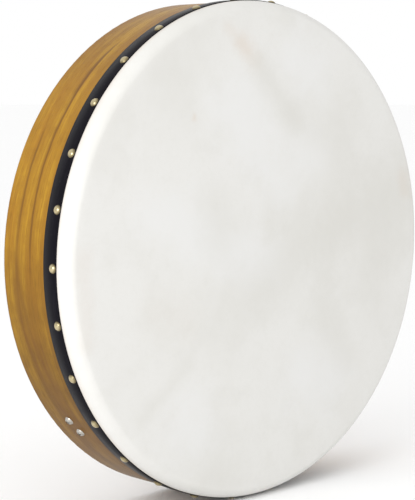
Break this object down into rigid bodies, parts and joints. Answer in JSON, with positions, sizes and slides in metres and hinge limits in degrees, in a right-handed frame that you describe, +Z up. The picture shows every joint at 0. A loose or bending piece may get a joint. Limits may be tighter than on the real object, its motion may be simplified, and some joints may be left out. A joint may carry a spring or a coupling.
{
  "type": "frame drum",
  "caption": "Frame drum with a bent-wood hoop, a tacked natural skin head edged with tape, and one bar across its open back to hold it by.",
  "frame": {"origin": "centre of the drum, on the hoop's axis at mid depth", "axes": "the hoop's axis is Y, the skin faces -Y and the open back faces +Y; +Z is up with the drum standing on its hoop, and X is across"},
  "size_m": [0.4652, 0.0888, 0.4634],
  "materials": {
    "hoop_wood": "golden brown lacquer over bent solid wood",
    "bar_wood": "golden brown lacquer",
    "natural_skin": "off-white dried goatskin, matt",
    "black_tape": "black, satin",
    "tack_brass": "polished",
    "screw_steel": "bright plated steel"
  },
  "bodies": {
    "root": {"bent_wood_hoop": "hoop_wood", "skin_head": "natural_skin", "trim_tape": "black_tape", "dome_head_tacks": "tack_brass", "hand_bar": "bar_wood", "bar_screws": "screw_steel"}
  },
  "joints": []
}
